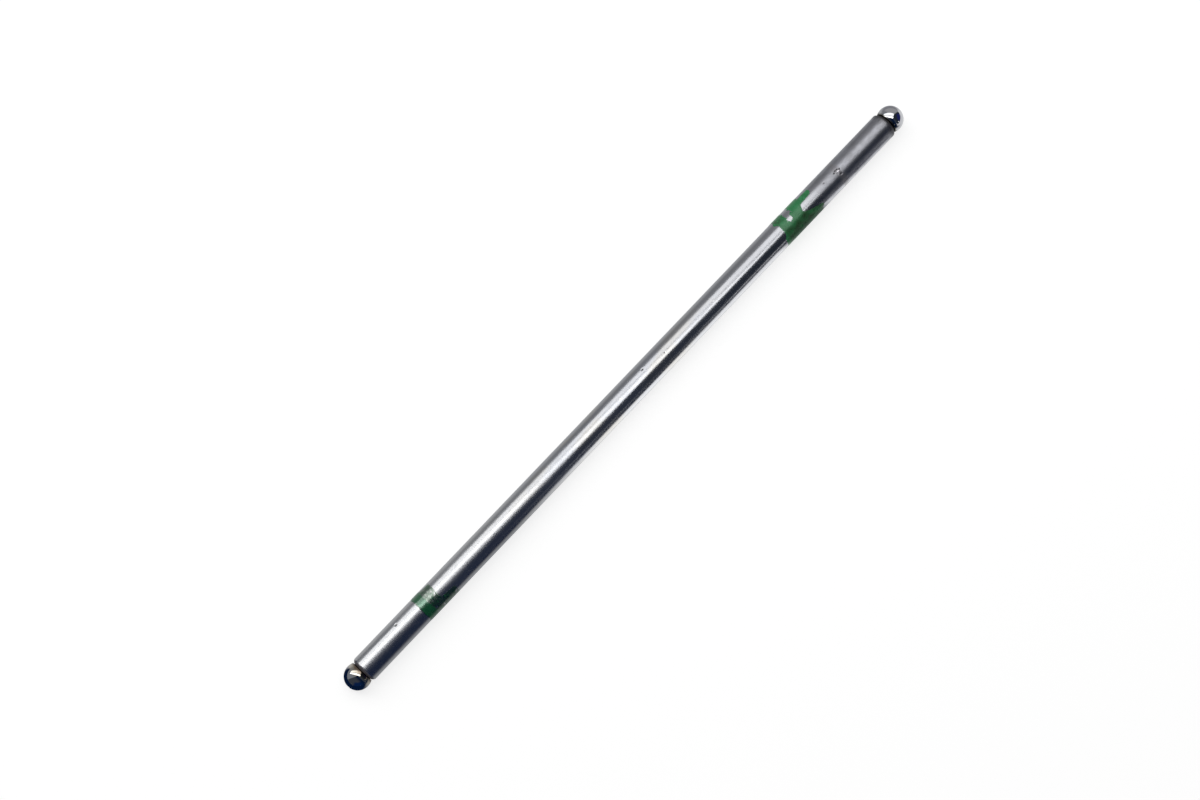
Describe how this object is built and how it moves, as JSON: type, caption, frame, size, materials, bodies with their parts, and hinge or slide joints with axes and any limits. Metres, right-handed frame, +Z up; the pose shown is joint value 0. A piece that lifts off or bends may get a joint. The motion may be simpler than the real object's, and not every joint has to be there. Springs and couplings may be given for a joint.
{
  "type": "engine pushrod",
  "caption": "Slender straight steel tube with a polished, oil-drilled ball end pressed into each mouth and green paint dabs, carrying lift from a valve lifter to a rocker arm.",
  "frame": {"origin": "centre of the lifter ball, at the end with the narrow paint mark", "axes": "+X along the rod towards the rocker ball, +Z up with the rod lying flat, +Y completes the right-handed set"},
  "size_m": [0.2248, 0.008, 0.008],
  "materials": {
    "tube_steel": "drawn and polished steel with fine lengthwise lines, a little duller beyond the rocker end's paint",
    "ball_steel": "hardened steel, ground and polished to a mirror",
    "green_paint": "thin brushed green marking paint, uneven and worn"
  },
  "bodies": {
    "root": {"tube": "tube_steel", "rocker_ball_end": "ball_steel", "lifter_ball_end": "ball_steel", "rocker_paint_mark": "green_paint", "lifter_paint_mark": "green_paint"}
  },
  "joints": []
}
